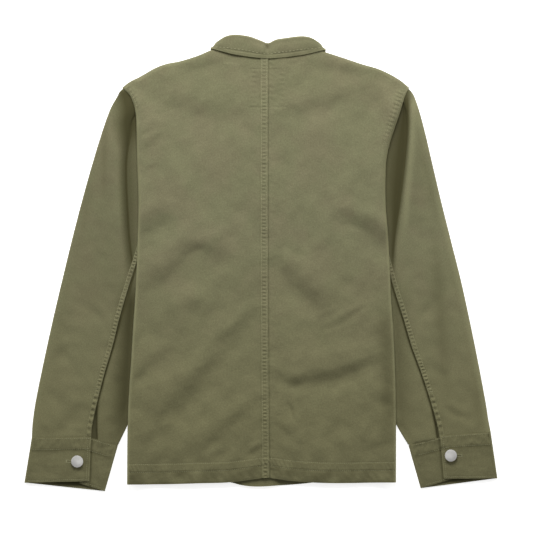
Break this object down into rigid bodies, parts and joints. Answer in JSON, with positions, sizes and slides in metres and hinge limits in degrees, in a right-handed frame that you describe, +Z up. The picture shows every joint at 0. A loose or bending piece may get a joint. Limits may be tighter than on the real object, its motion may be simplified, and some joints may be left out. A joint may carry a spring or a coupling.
{
  "type": "painter jacket",
  "caption": "Cotton twill work jacket laid flat, back up: felled centre back, shirt collar, long two-piece sleeves, buttoned cuffs.",
  "frame": {"origin": "middle of the laid jacket's bounding rectangle, on the surface that it lies on", "axes": "+X across the jacket to the wearer's right, +Y towards the collar, +Z up from the surface, out of the jacket's back"},
  "size_m": [0.7562, 0.7296, 0.0165],
  "materials": {
    "twill": "garment-dyed cotton twill, matt, slightly mottled",
    "button_metal": "plain satin white metal"
  },
  "bodies": {
    "root": {"back_left": "twill", "back_right": "twill", "front_left": "twill", "front_right": "twill", "top_sleeve_left": "twill", "top_sleeve_right": "twill", "undersleeve_left": "twill", "undersleeve_right": "twill", "cuff_left": "twill", "cuff_right": "twill", "collar": "twill", "cuff_button_left": "button_metal", "cuff_button_right": "button_metal", "front_button_1": "button_metal", "front_button_2": "button_metal", "front_button_3": "button_metal", "front_button_4": "button_metal"}
  },
  "joints": []
}
